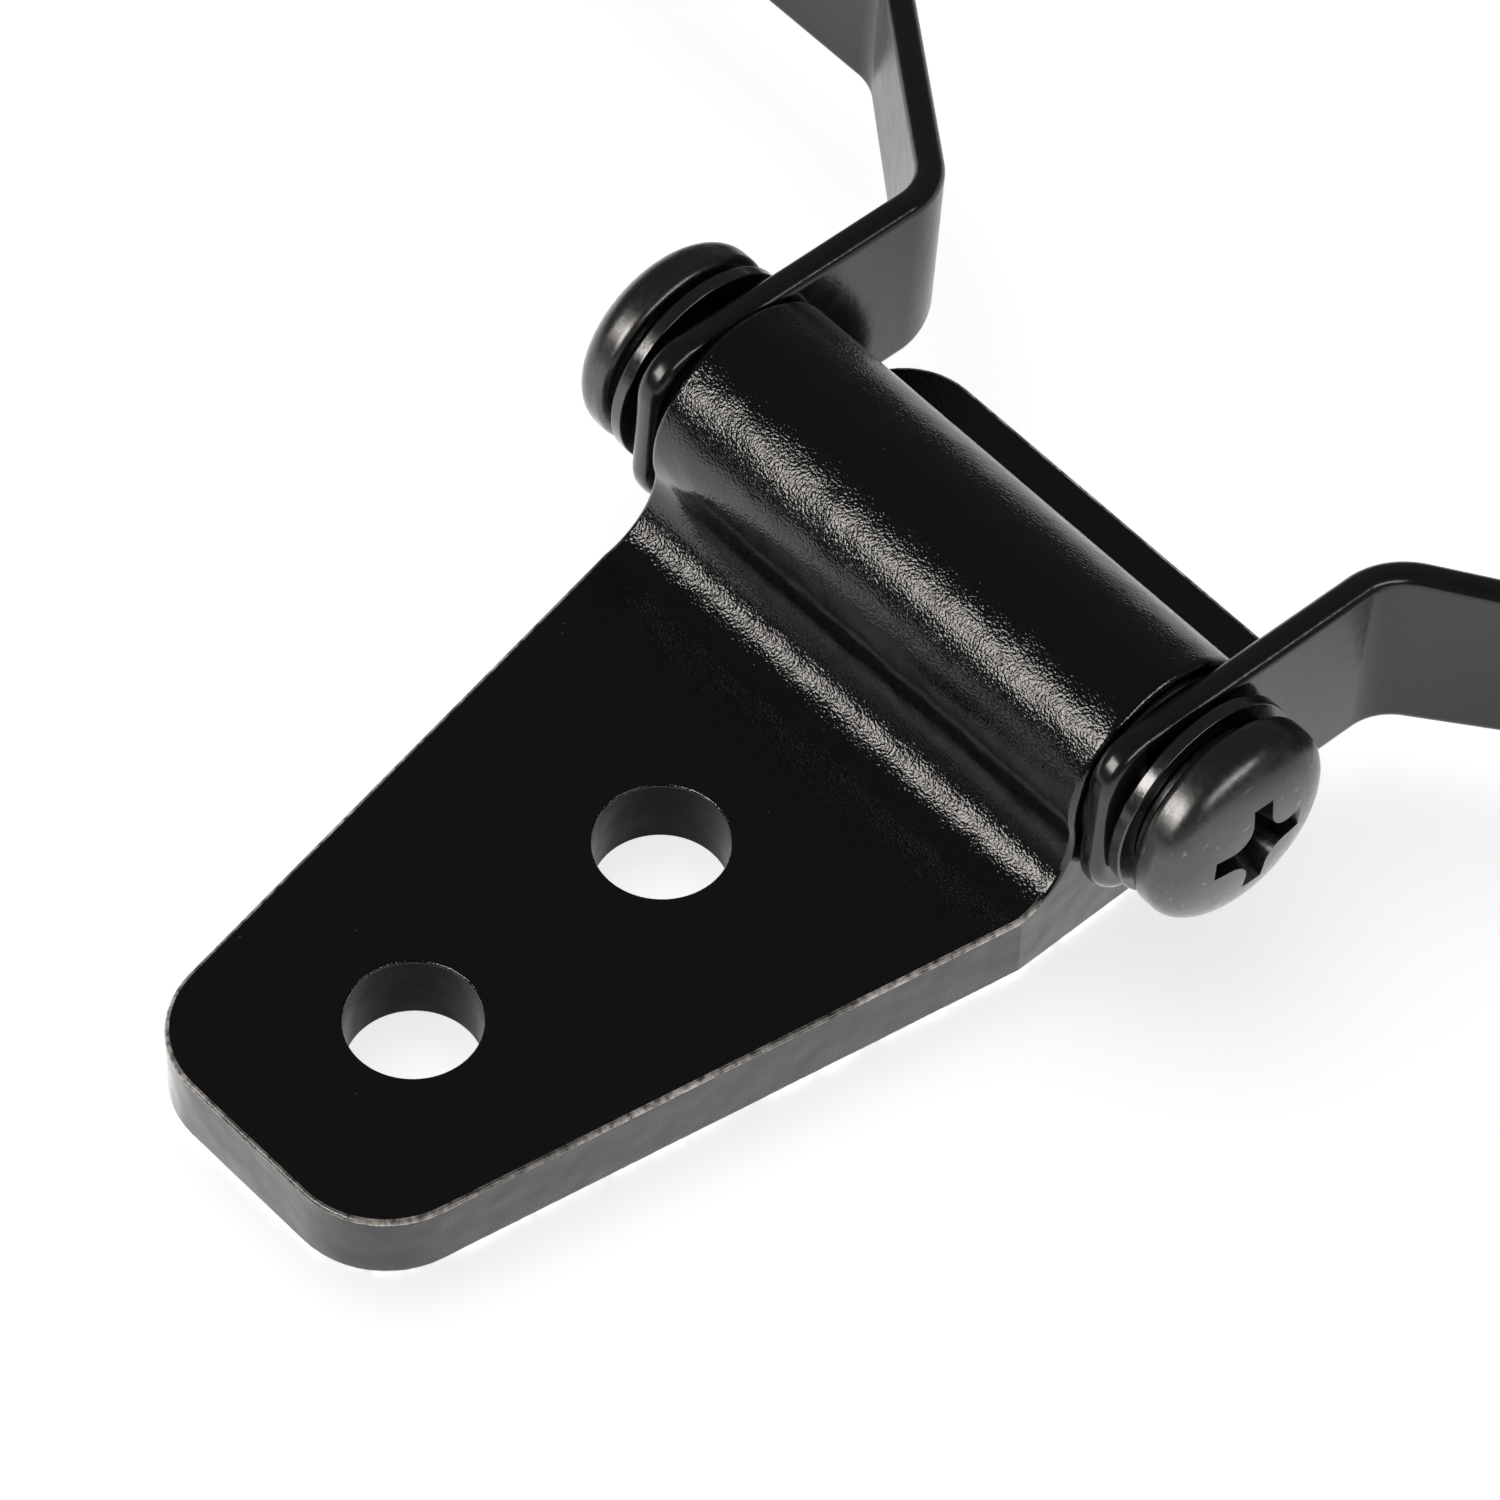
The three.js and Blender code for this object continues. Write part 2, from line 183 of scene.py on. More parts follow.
def arc(center, radius, start, end, steps=ARC_STEPS):
    """Points on an arc, its two ends included; the angles are in radians."""
    points = []
    for step in range(steps + 1):
        angle = start + (end - start) * step / steps
        points.append(Vector((center[0] + radius * math.cos(angle), center[1] + radius * math.sin(angle))))
    return points


def rounded_outline(corners):
    """A closed counter-clockwise outline whose (x, y, radius) corners are rounded with true arcs."""
    outline = []
    for i, (x, y, radius) in enumerate(corners):
        corner = Vector((x, y))
        if radius == 0:
            outline.append(corner)
            continue
        back = (Vector(corners[i - 1][:2]) - corner).normalized()
        ahead = (Vector(corners[(i + 1) % len(corners)][:2]) - corner).normalized()
        half_angle = back.angle(ahead) / 2
        center = corner + (back + ahead).normalized() * radius / math.sin(half_angle)
        first = corner + back * radius / math.tan(half_angle) - center
        start = math.atan2(first.y, first.x)
        outline += arc(center, radius, start, start + math.pi - 2 * half_angle)
    return outline


def prism(name, outline, low, high, place):
    """Pushes a flat outline from low to high; place(u, v, depth) says where a point goes."""
    count = len(outline)
    vertices = [place(p[0], p[1], low) for p in outline] + [place(p[0], p[1], high) for p in outline]
    faces = [tuple(range(count)), tuple(range(count, 2 * count))]
    for i in range(count):
        after = (i + 1) % count
        faces.append((i, after, after + count, i + count))
    return new_object(name, vertices, faces)


def upward(u, v, depth):
    return (u, v, depth)


def sideways(u, v, depth):
    return (depth, u, v)


def backward(u, v, depth):
    return (u, depth, v)


def circle(center, radius, steps=FINE):
    return arc(center, radius, 0, 2 * math.pi * (steps - 1) / steps, steps - 1)


def turned(name, profile, steps=FINE):
    """Revolves a closed ring of (along X, radius) points; points on the axis stay single."""
    vertices = []
    rings = []
    for along, radius in profile:
        if radius == 0:
            rings.append([len(vertices)] * steps)
            vertices.append((along, 0, 0))
            continue
        rings.append(list(range(len(vertices), len(vertices) + steps)))
        for step in range(steps):
            angle = 2 * math.pi * step / steps
            vertices.append((along, radius * math.cos(angle), radius * math.sin(angle)))
    faces = []
    for ring, following in zip(rings, rings[1:] + rings[:1]):
        for step in range(steps):
            after = (step + 1) % steps
            face = []
            for index in (ring[step], ring[after], following[after], following[step]):
                if index not in face:
                    face.append(index)
            if len(face) > 2:
                faces.append(tuple(face))
    return new_object(name, vertices, faces)


def combine(obj, operation, *others):
    """Cuts obj with each of others or keeps what they share; the others are used up. A cutter stands a
    millimetre or two outside what it cuts."""
    for other in others:
        modifier = obj.modifiers.new("combine", "BOOLEAN")
        modifier.operation = operation
        modifier.solver = "EXACT"
        modifier.object = other
        apply_modifiers(obj)
        bpy.data.objects.remove(other)
    return obj


def clean(obj, distance=0.002):
    """Merges doubled points and dissolves the needless ones that a boolean leaves."""
    build = bmesh.new()
    build.from_mesh(obj.data)
    bmesh.ops.remove_doubles(build, verts=build.verts, dist=distance)
    bmesh.ops.dissolve_degenerate(build, dist=distance, edges=build.edges)
    build.to_mesh(obj.data)
    build.free()
    return obj


def soften(obj, width_at, segments=4, sharp=math.radians(30)):
    """Rounds each sharp edge by width_at(middle of the edge), in millimetres. The faces that the
    rounding makes get the object's second material, if it has one."""
    build = bmesh.new()
    build.from_mesh(obj.data)
    weight = build.edges.layers.float.new("bevel_weight_edge")
    widest = max(BARREL_EDGE, ARM_EDGE)
    for edge in build.edges:
        if len(edge.link_faces) == 2 and edge.calc_face_angle() > sharp:
            middle = (edge.verts[0].co + edge.verts[1].co) / 2
            edge[weight] = width_at(middle) / widest
    build.to_mesh(obj.data)
    build.free()
    modifier = obj.modifiers.new("soften", "BEVEL")
    modifier.limit_method = "WEIGHT"
    modifier.width = widest
    modifier.segments = segments
    modifier.use_clamp_overlap = False
    modifier.material = 1
    modifier.miter_outer = "MITER_ARC"
    return apply_modifiers(obj)


def smooth(obj, sharp=math.radians(35)):
    """Smooth shading that keeps flat faces flat."""
    for polygon in obj.data.polygons:
        polygon.use_smooth = True
    obj.data.set_sharp_from_angle(angle=sharp)
    modifier = obj.modifiers.new("flat faces", "WEIGHTED_NORMAL")
    modifier.keep_sharp = True
    return apply_modifiers(obj)


# ---- materials ----


def shader(name):
    """A new material; returns it with its node tree and its Principled BSDF."""
    material = bpy.data.materials.new(name)
    material.use_nodes = True
    tree = material.node_tree
    return material, tree, tree.nodes["Principled BSDF"]


def put(tree, kind, inputs=None, **settings):
    """Adds a node. Each input is a number or a colour, or another node's output to link."""
    node = tree.nodes.new(kind)
    for key, value in settings.items():
        setattr(node, key, value)
    for key, value in (inputs or {}).items():
        socket = node.inputs[key]
        if isinstance(value, bpy.types.NodeSocket):
            tree.links.new(value, socket)
        else:
            socket.default_value = value
    return node


def millimetres(tree):
    """The object's own coordinates in millimetres."""
    place = put(tree, "ShaderNodeTexCoord").outputs["Object"]
    scaled = put(tree, "ShaderNodeVectorMath", {0: place, "Scale": 1 / MM}, operation="SCALE")
    return scaled.outputs["Vector"]


def noise(tree, place, per_mm, detail=2.0, roughness=0.5):
    inputs = {"Vector": place, "Scale": per_mm, "Detail": detail, "Roughness": roughness}
    return put(tree, "ShaderNodeTexNoise", inputs).outputs["Fac"]


def cells(tree, place, per_mm):
    """The distance from the middle of the nearest cell."""
    return put(tree, "ShaderNodeTexVoronoi", {"Vector": place, "Scale": per_mm}).outputs["Distance"]


def spread(tree, value, low, high, to_low=0.0, to_high=1.0):
    """Stretches value from low..high to to_low..to_high, clamped."""
    inputs = {"Value": value, "From Min": low, "From Max": high, "To Min": to_low, "To Max": to_high}
    return put(tree, "ShaderNodeMapRange", inputs).outputs["Result"]


def math_node(tree, operation, a, b=0.0):
    return put(tree, "ShaderNodeMath", {0: a, 1: b}, operation=operation).outputs["Value"]


def blend_colors(tree, share, a, b):
    node = put(tree, "ShaderNodeMix", {0: share, 6: a, 7: b}, data_type="RGBA")
    return node.outputs[2]


def grey(value, warmth=0.0):
    return (value * (1 + warmth), value, value * (1 - warmth), 1.0)


def bumped(tree, height, depth_mm, strength=1.0, normal=None):
    inputs = {"Height": height, "Distance": depth_mm * MM, "Strength": strength}
    if normal is not None:
        inputs["Normal"] = normal
    return put(tree, "ShaderNodeBump", inputs).outputs["Normal"]


def dust_specks(tree, place, per_mm, size, share):
    """Small pale grains: a few cells of a pattern hold one, of a size in cell widths."""
    near = spread(tree, cells(tree, place, per_mm), size, size * 0.5)
    chosen = spread(tree, noise(tree, place, per_mm * 0.4), 1 - share, 1 - share + 0.02)
    return math_node(tree, "MULTIPLY", near, chosen)


def cast_coat(name, worn_and_highlit=False, painted_hole_shade=False):
    """Glossy black powder coat over a casting. Its fine orange peel breaks a lamp's reflection into
    separate sparks where it faces up, and is fainter on steep faces. A few grains of dust lie on it. On
    the plate's edges pale specks are painted, partly coat rubbed thin and partly a painted highlight along
    the rounded edge; down in the holes the walls are made less glossy, as painted shade."""
    material, tree, surface = shader(name)
    place = millimetres(tree)
    waves = bumped(tree, noise(tree, place, 0.45, detail=1.0), 0.10)
    normal = put(tree, "ShaderNodeNewGeometry").outputs["Normal"]
    facing = put(tree, "ShaderNodeSeparateXYZ", {0: normal}).outputs["Z"]
    level = spread(tree, facing, 0.0, 0.60, 0.35, 0.4 if worn_and_highlit else 1.0)
    peel = bumped(tree, noise(tree, place, 8.0, detail=0.8), 0.033, level, waves)
    skin = bumped(tree, noise(tree, place, 18.0, detail=0.0), 0.002, level, peel)
    tree.links.new(skin, surface.inputs["Normal"])
    roughness = spread(tree, noise(tree, place, 2.0), 0.3, 0.7, 0.09, 0.15)
    color = blend_colors(tree, noise(tree, place, 0.25), grey(0.0034), grey(0.0046, 0.06))
    specks = dust_specks(tree, place, 0.7, 0.035, 0.40)
    color = blend_colors(tree, math_node(tree, "MULTIPLY", specks, 0.5), color, grey(0.25, 0.08))
    # pale specks on the plate's rounded edges: partly coat rubbed thin, partly a painted highlight where
    # those edges catch the lamp
    if worn_and_highlit:
        height = put(tree, "ShaderNodeSeparateXYZ", {0: place}).outputs["Z"]
        on_plate = spread(tree, height, PLATE_THICKNESS, PLATE_THICKNESS + 0.5, 1.0, 0.0)
        patches = spread(tree, noise(tree, place, 0.2, detail=3.0), 0.40, 0.58, 0.35, 1.0)
        grain = noise(tree, place, 1.8, detail=4.0, roughness=0.65)
        flecks = spread(tree, grain, 0.38, 0.60, 0.15, 1.0)
        rubbed_and_highlit = math_node(tree, "MULTIPLY", math_node(tree, "MULTIPLY", patches, flecks), on_plate)
        color = blend_colors(tree, rubbed_and_highlit, color, grey(0.80, 0.10))
        roughness = math_node(tree, "ADD", roughness, math_node(tree, "MULTIPLY", rubbed_and_highlit, 0.25))
    # painted shade: the holes' walls reflect less and look darker, standing in for the shade down in the
    # holes
    if painted_hole_shade:
        surface.inputs["Specular IOR Level"].default_value = 0.04
        roughness = math_node(tree, "ADD", roughness, 0.2)
    tree.links.new(color, surface.inputs["Base Color"])
    tree.links.new(roughness, surface.inputs["Roughness"])
    return material


def smooth_coat(name):
    """Semi-gloss black powder coat over bent steel bar, with a faint orange peel and dust."""
    material, tree, surface = shader(name)
    place = millimetres(tree)
    peel = noise(tree, place, 1.6, detail=2.0)
    fine = noise(tree, place, 8.0, detail=1.0)
    waves = bumped(tree, peel, 0.012)
    skin = bumped(tree, fine, 0.0008, normal=waves)
    tree.links.new(skin, surface.inputs["Normal"])
    color = blend_colors(tree, noise(tree, place, 0.3), grey(0.012), grey(0.016, 0.04))
    surface.inputs["Specular IOR Level"].default_value = 0.42
    specks = dust_specks(tree, place, 0.8, 0.05, 0.42)
    color = blend_colors(tree, math_node(tree, "MULTIPLY", specks, 0.6), color, grey(0.3, 0.06))
    tree.links.new(color, surface.inputs["Base Color"])
    roughness = spread(tree, noise(tree, place, 0.9, detail=3.0), 0.3, 0.7, 0.16, 0.22)
    tree.links.new(roughness, surface.inputs["Roughness"])
    return material


def black_steel(name, rougher=0.0):
    """Black-oxide steel: dark satin metal with cloudy patches, an uneven skin and faint scratches."""
    material, tree, surface = shader(name)
    place = millimetres(tree)
    surface.inputs["Metallic"].default_value = 0.85
    cloud = noise(tree, place, 0.9, detail=4.0)
    color = blend_colors(tree, cloud, grey(0.060), grey(0.095, 0.01))
    stretch = {"Vector": place, "Scale": (9.0, 0.6, 2.2), "Rotation": (0.5, 0.3, 0.9)}
    along = put(tree, "ShaderNodeMapping", stretch).outputs["Vector"]
    scratches = spread(tree, noise(tree, along, 1.0), 0.66, 0.74)
    color = blend_colors(tree, math_node(tree, "MULTIPLY", scratches, 0.5), color, grey(0.22, 0.02))
    tree.links.new(color, surface.inputs["Base Color"])
    mottle = noise(tree, place, 2.5, detail=4.0)
    roughness = spread(tree, mottle, 0.3, 0.7, 0.24 + rougher, 0.34 + rougher)
    tree.links.new(roughness, surface.inputs["Roughness"])
    waves = bumped(tree, noise(tree, place, 0.7, detail=2.0), 0.02)
    skin = bumped(tree, noise(tree, place, 7.0, detail=3.0), 0.003, normal=waves)
    tree.links.new(skin, surface.inputs["Normal"])
    return material


def nylon(name):
    """Moulded black nylon, matt, with a fine tooth."""
    material, tree, surface = shader(name)
    place = millimetres(tree)
    color = blend_colors(tree, noise(tree, place, 0.8), grey(0.006), grey(0.011))
    tree.links.new(color, surface.inputs["Base Color"])
    roughness = spread(tree, noise(tree, place, 3.0), 0.3, 0.7, 0.5, 0.65)
    tree.links.new(roughness, surface.inputs["Roughness"])
    tree.links.new(bumped(tree, noise(tree, place, 12.0), 0.006), surface.inputs["Normal"])
    return material


CAST_COAT = cast_coat("cast_coat")
CAST_COAT_WORN_HIGHLIT = cast_coat("cast_coat_worn_highlit", worn_and_highlit=True)
CAST_COAT_SHADED_HOLES = cast_coat("cast_coat_shaded_holes", painted_hole_shade=True)
SMOOTH_COAT = smooth_coat("smooth_coat")
BLACK_STEEL = black_steel("black_steel")
GLOSSY_STEEL = black_steel("glossy_steel", -0.1)
NYLON = nylon("nylon")


# ---- placing ----

ROW_FRAME = Matrix.Identity(4)
ON_PIVOT = Matrix.Translation(PIVOT)
ON_CROSSBAR = ON_PIVOT @ Matrix.Rotation(-REST_DROOP, 4, "X")
LEFT_HAND = Matrix.Rotation(math.pi, 4, "Z")
MIRRORED = Matrix.Diagonal((-1, 1, 1, 1))


def copied(obj, name, turn):
    """The same mesh at the other end of the pivot, turned or mirrored."""
    mesh = obj.data.copy()
    mesh.transform(turn)
    if turn.determinant() < 0:
        mesh.flip_normals()
    other = bpy.data.objects.new(name, mesh)
    bpy.context.scene.collection.objects.link(other)
    return other


def paint(obj, *materials):
    """Adds materials to obj; before soften, so that its rounded edges can take the second one."""
    for material in materials:
        obj.data.materials.append(material)


def install(obj, node, body, place):
    """Scales a finished mesh to metres, puts it in place, and lets it stand for its CAD node."""
    obj.data.transform(Matrix.Scale(MM, 4) @ place)
    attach(obj, body)
    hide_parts(node)


# ---- strap leaf ----


def fillet_center(fillet):
    """How far from the pivot, along Y, and how high the centre of a fillet between plate and barrel is."""
    rise = PIVOT.z - PLATE_THICKNESS - fillet
    return math.sqrt((BARREL_RADIUS + fillet) ** 2 - rise**2), PLATE_THICKNESS + fillet


def strap_side_view():
    """The casting seen along X: the plate, with the barrel and its two fillets on top."""
    front_y, front_z = fillet_center(FRONT_FILLET)
    rear_y, rear_z = fillet_center(REAR_FILLET)
    front_touch = math.atan2(PIVOT.z - front_z, front_y)
    rear_touch = math.atan2(PIVOT.z - rear_z, rear_y)
    outline = [
        Vector((STRAP_LOW.y, 0)),
        Vector((STRAP_HIGH.y, 0)),
        Vector((STRAP_HIGH.y, PLATE_THICKNESS)),
    ]
    outline += arc((rear_y, rear_z), REAR_FILLET, -math.pi / 2, -math.pi - rear_touch)
    outline += arc((0, PIVOT.z), BARREL_RADIUS, -rear_touch, math.pi + front_touch, FINE // 2)[1:]
    outline += arc((-front_y, front_z), FRONT_FILLET, front_touch, -math.pi / 2, 2 * ARC_STEPS)[1:]
    outline.append(Vector((STRAP_LOW.y, PLATE_THICKNESS)))
    return outline


def strap_plan():
    return rounded_outline([
        (-TIP_HALF_WIDTH, STRAP_LOW.y, TIP_RADIUS),
        (TIP_HALF_WIDTH, STRAP_LOW.y, TIP_RADIUS),
        (HALF_WIDTH, SHOULDER_Y, SHOULDER_RADIUS),
        (HALF_WIDTH, STRAP_HIGH.y, REAR_RADIUS),
        (-HALF_WIDTH, STRAP_HIGH.y, REAR_RADIUS),
        (-HALF_WIDTH, SHOULDER_Y, SHOULDER_RADIUS),
    ])


def strap_edge_width(middle):
    """The casting's outer edges are rounder than the rims of its holes and of the bore."""
    from_pivot = math.hypot(middle.y - PIVOT.y, middle.z - PIVOT.z)
    if from_pivot < BUSH_FLANGE_RADIUS + 0.1:
        return HOLE_EDGE if abs(middle.x) > HALF_WIDTH - 0.01 else 0
    for y in SCREW_HOLE_YS:
        if math.hypot(middle.x, middle.y - y) < SCREW_HOLE_RADIUS + 0.1:
            return HOLE_EDGE
    climb = min(1.0, max(0.0, (middle.z - PLATE_THICKNESS) / FRONT_FILLET))
    return CAST_EDGE + (BARREL_EDGE - CAST_EDGE) * climb


def paint_screw_holes(leaf):
    """Gives the holes' walls the third material, which paints shade on them, and their rims the first one
    instead of the worn one with its painted highlight.
    """
    for polygon in leaf.data.polygons:
        corners = [leaf.data.vertices[i].co for i in polygon.vertices]
        for y in SCREW_HOLE_YS:
            reach = max(math.hypot(corner.x, corner.y - y) for corner in corners)
            if reach < SCREW_HOLE_RADIUS + 0.01:
                polygon.material_index = 2
            elif reach < SCREW_HOLE_RADIUS + 0.2:
                polygon.material_index = 0


def build_strap_leaf():
    leaf = prism("strap_leaf_casting", strap_side_view(), -HALF_WIDTH - 1, HALF_WIDTH + 1, sideways)
    combine(leaf, "INTERSECT", prism("plan", strap_plan(), -1, STRAP_HIGH.z + 1, upward))
    beyond = HALF_WIDTH + 2
    axis = (PIVOT.y, PIVOT.z)
    bore = prism("bore", circle(axis, BUSH_RADIUS), -beyond, beyond, sideways)
    seat = circle(axis, BUSH_FLANGE_RADIUS + SEAT_GAP)
    holes = [
        prism("seat", seat, BUSH_OUTER - BUSH_FLANGE, beyond, sideways),
        prism("seat", seat, -beyond, BUSH_FLANGE - BUSH_OUTER, sideways),
    ]
    for y in SCREW_HOLE_YS:
        holes.append(prism("hole", circle((0, y), SCREW_HOLE_RADIUS), -1, PLATE_THICKNESS + 1, upward))
    combine(leaf, "DIFFERENCE", bore, *holes)
    # the second material paints worn specks and a highlight on the plate's edges; the third paints shade
    # on the holes' walls
    paint(leaf, CAST_COAT, CAST_COAT_WORN_HIGHLIT, CAST_COAT_SHADED_HOLES)
    soften(clean(leaf), strap_edge_width)
    smooth(leaf)
    paint_screw_holes(leaf)
    install(leaf, "strap_leaf", "strap", ROW_FRAME)


# ---- arms ----


def arm_path():
    """The bar seen from above: (place, heading) stations along its middle, from the ear to the end of
    the flange, and the place where the flange begins."""
    place = Vector((ARM_INNER + ARM_THICKNESS / 2, ARM_FRONT_Y))
    heading = math.pi / 2
    stations = [(place.copy(), heading)]

    def forward(length):
        nonlocal place
        place = place + Vector((math.cos(heading), math.sin(heading))) * length
        stations.append((place.copy(), heading))

    def bend(angle, steps=2 * ARC_STEPS):
        nonlocal heading
        chord = 2 * ARM_BEND_RADIUS * math.sin(angle / steps / 2)
        for _ in range(steps):
            heading -= angle / steps / 2
            forward(chord)
            heading -= angle / steps / 2
            stations[-1] = (place.copy(), heading)

    forward(ARM_BEND_Y - ARM_FRONT_Y)
    bend(ARM_SPLAY)
    forward(SPLAY_LENGTH)
    bend(math.pi / 2 - ARM_SPLAY)
    flange = place.copy()
    forward(FLANGE_LENGTH)
    return stations, flange


def arm_bar():
    """The bent bar with square edges, as tall as its ear at the front and narrowing to its flange."""
    stations, flange = arm_path()
    flange_face = flange.y - ARM_THICKNESS / 2
    vertices = []
    faces = []
    for place, heading in stations:
        side = Vector((-math.sin(heading), math.cos(heading))) * ARM_THICKNESS / 2
        for corner, sign in ((place - side, -1), (place - side, 1), (place + side, 1), (place + side, -1)):
            share = min(1.0, max(0.0, (corner.y - ARM_BEND_Y) / (flange_face - ARM_BEND_Y)))
            reach = ARM_ABOVE_PIVOT if sign > 0 else ARM_BELOW_PIVOT
            reach += (FLANGE_HEIGHT / 2 - reach) * share
            vertices.append((corner.x, corner.y, sign * reach))
    for station in range(len(stations) - 1):
        for corner in range(4):
            a = station * 4 + corner
            b = station * 4 + (corner + 1) % 4
            faces.append((a, b, b + 4, a + 4))
    faces.append((0, 1, 2, 3))
    faces.append(tuple(range(len(vertices) - 4, len(vertices))))
    return new_object("bar", vertices, faces), flange


def build_arms():
    arm, flange = arm_bar()
    tall = 2 * FLANGE_HEIGHT
    deep = flange.y + tall
    end = flange.x + FLANGE_LENGTH
    ear = rounded_outline([
        (ARM_FRONT_Y, -ARM_BELOW_PIVOT, ARM_BOTTOM_CORNER),
        (deep, -ARM_BELOW_PIVOT - 0.001, 0),
        (deep, ARM_ABOVE_PIVOT + 0.001, 0),
        (ARM_FRONT_Y, ARM_ABOVE_PIVOT, ARM_TOP_CORNER),
    ])
    flange_view = rounded_outline([
        (0, -tall, 0),
        (flange.x + 1, -tall, 0),
        (flange.x + 1, -FLANGE_HEIGHT / 2, 0),
        (end, -FLANGE_HEIGHT / 2, FLANGE_END_RADIUS),
        (end, FLANGE_HEIGHT / 2, FLANGE_END_RADIUS),
        (flange.x + 1, FLANGE_HEIGHT / 2, 0),
        (flange.x + 1, tall, 0),
        (0, tall, 0),
    ])
    combine(arm, "INTERSECT", prism("ear", ear, 0, end + 1, sideways))
    combine(arm, "INTERSECT", prism("flange", flange_view, ARM_FRONT_Y - 1, deep, backward))
    seat = circle((0, 0), SLEEVE_RADIUS + SEAT_GAP)
    holes = [prism("hole", seat, ARM_INNER - 1, ARM_INNER + 2 * ARM_THICKNESS, sideways)]
    for offset in FLANGE_HOLE_OFFSETS:
        outline = circle((flange.x + offset, 0), FLANGE_HOLE_RADIUS)
        holes.append(prism("hole", outline, flange.y - 2, flange.y + 2, backward))
    combine(arm, "DIFFERENCE", *holes)

    def edge_width(middle):
        """The rims of the holes are sharper than the bar's own edges."""
        gaps = [math.hypot(middle.y, middle.z) - SLEEVE_RADIUS]
        for offset in FLANGE_HOLE_OFFSETS:
            gaps.append(math.hypot(middle.x - flange.x - offset, middle.z) - FLANGE_HOLE_RADIUS)
        return HOLE_EDGE if min(gaps) < 0.1 else ARM_EDGE

    paint(arm, SMOOTH_COAT)
    soften(clean(arm), edge_width)
    arm.name = "right_bent_arm"
    left = copied(arm, "left_bent_arm", MIRRORED)
    smooth(arm)
    smooth(left)
    install(arm, "right_arm", "crossbar", ON_CROSSBAR)
    install(left, "left_arm", "crossbar", ON_CROSSBAR)


# ---- pieces turned about the pivot ----


def rounded_profile(corners):
    """A closed (along, radius) profile from (along, radius, rounding) corners."""
    return [tuple(point) for point in rounded_outline(corners)]


def pan_head():
    """Points of the domed head from its rim to its top."""
    rim = HEAD_SEAT + HEAD_RIM
    points = []
    for step in range(DOME_STEPS):
        angle = math.pi / 2 * step / DOME_STEPS
        along = rim + (HEAD_TOP - rim) * math.sin(angle) ** DOME_RISE_POWER
        points.append((along, HEAD_RADIUS * math.cos(angle) ** DOME_SIDE_POWER))
    points.append((HEAD_TOP, 0))
    return points


def build_screws():
    profile = [
        (SCREW_LOW.x, 0),
        (SCREW_LOW.x, SHANK_RADIUS - SHANK_CHAMFER),
        (SCREW_LOW.x + SHANK_CHAMFER, SHANK_RADIUS),
        (HEAD_SEAT, SHANK_RADIUS),
    ]
    foot = (HEAD_SEAT + HEAD_FOOT, HEAD_RADIUS - HEAD_FOOT)
    profile += [tuple(p) for p in arc(foot, HEAD_FOOT, math.pi, math.pi / 2, 8)]
    profile += pan_head()
    screw = turned("screw", profile)
    combine(screw, "DIFFERENCE", recess_cutter())
    paint(screw, BLACK_STEEL)
    smooth(clean(screw))
    screw.name = "right_pan_screw"
    left = copied(screw, "left_pan_screw", LEFT_HAND)
    install(screw, "right_pivot_screw", "crossbar", ON_CROSSBAR)
    install(left, "left_pivot_screw", "crossbar", ON_CROSSBAR)


def cross_outline(span, width, throat):
    """A cross with flat wing tips, and between its wings round inner corners of radius throat."""
    outline = []
    for wing in range(4):
        turn = Matrix.Rotation(RECESS_TURN + wing * math.pi / 2, 2)
        inner = arc((width + throat, width + throat), throat, -math.pi / 2, -math.pi, 8)
        outline += [turn @ p for p in (Vector((span, -width)), Vector((span, width)), *inner)]
    return outline


def recess_cutter():
    """The cross recess: it narrows inwards and ends in a shallow cone."""
    above = 0.6
    vertices = []
    for depth in (-above, RECESS_DEPTH):
        span = RECESS_SPAN / 2 - depth * math.tan(RECESS_TAPER)
        share = 1 - RECESS_NARROWING * depth
        for point in cross_outline(span, RECESS_WIDTH / 2 * share, RECESS_THROAT * share * share):
            vertices.append((HEAD_TOP - depth, point.x, point.y))
    count = len(vertices) // 2
    vertices.append((HEAD_TOP - RECESS_DEPTH - RECESS_CONE, 0, 0))
    faces = [tuple(range(count))]
    for i in range(count):
        after = (i + 1) % count
        faces.append((i, after, after + count, i + count))
        faces.append((i + count, after + count, 2 * count))
    return new_object("recess", vertices, faces)


def build_flat_washers():
    washer = turned("washer", rounded_profile([
        (SLEEVE_END, WASHER_BORE_RADIUS, WASHER_EDGE),
        (FLAT_WASHER_OUTER, WASHER_BORE_RADIUS, WASHER_EDGE),
        (FLAT_WASHER_OUTER, FLAT_WASHER_RADIUS, WASHER_EDGE),
        (SLEEVE_END, FLAT_WASHER_RADIUS, WASHER_EDGE),
    ]))
    paint(washer, GLOSSY_STEEL)
    smooth(washer)
    washer.name = "right_plain_washer"
    left = copied(washer, "left_plain_washer", LEFT_HAND)
    install(washer, "right_flat_washer", "crossbar", ON_CROSSBAR)
    install(left, "left_flat_washer", "crossbar", ON_CROSSBAR)


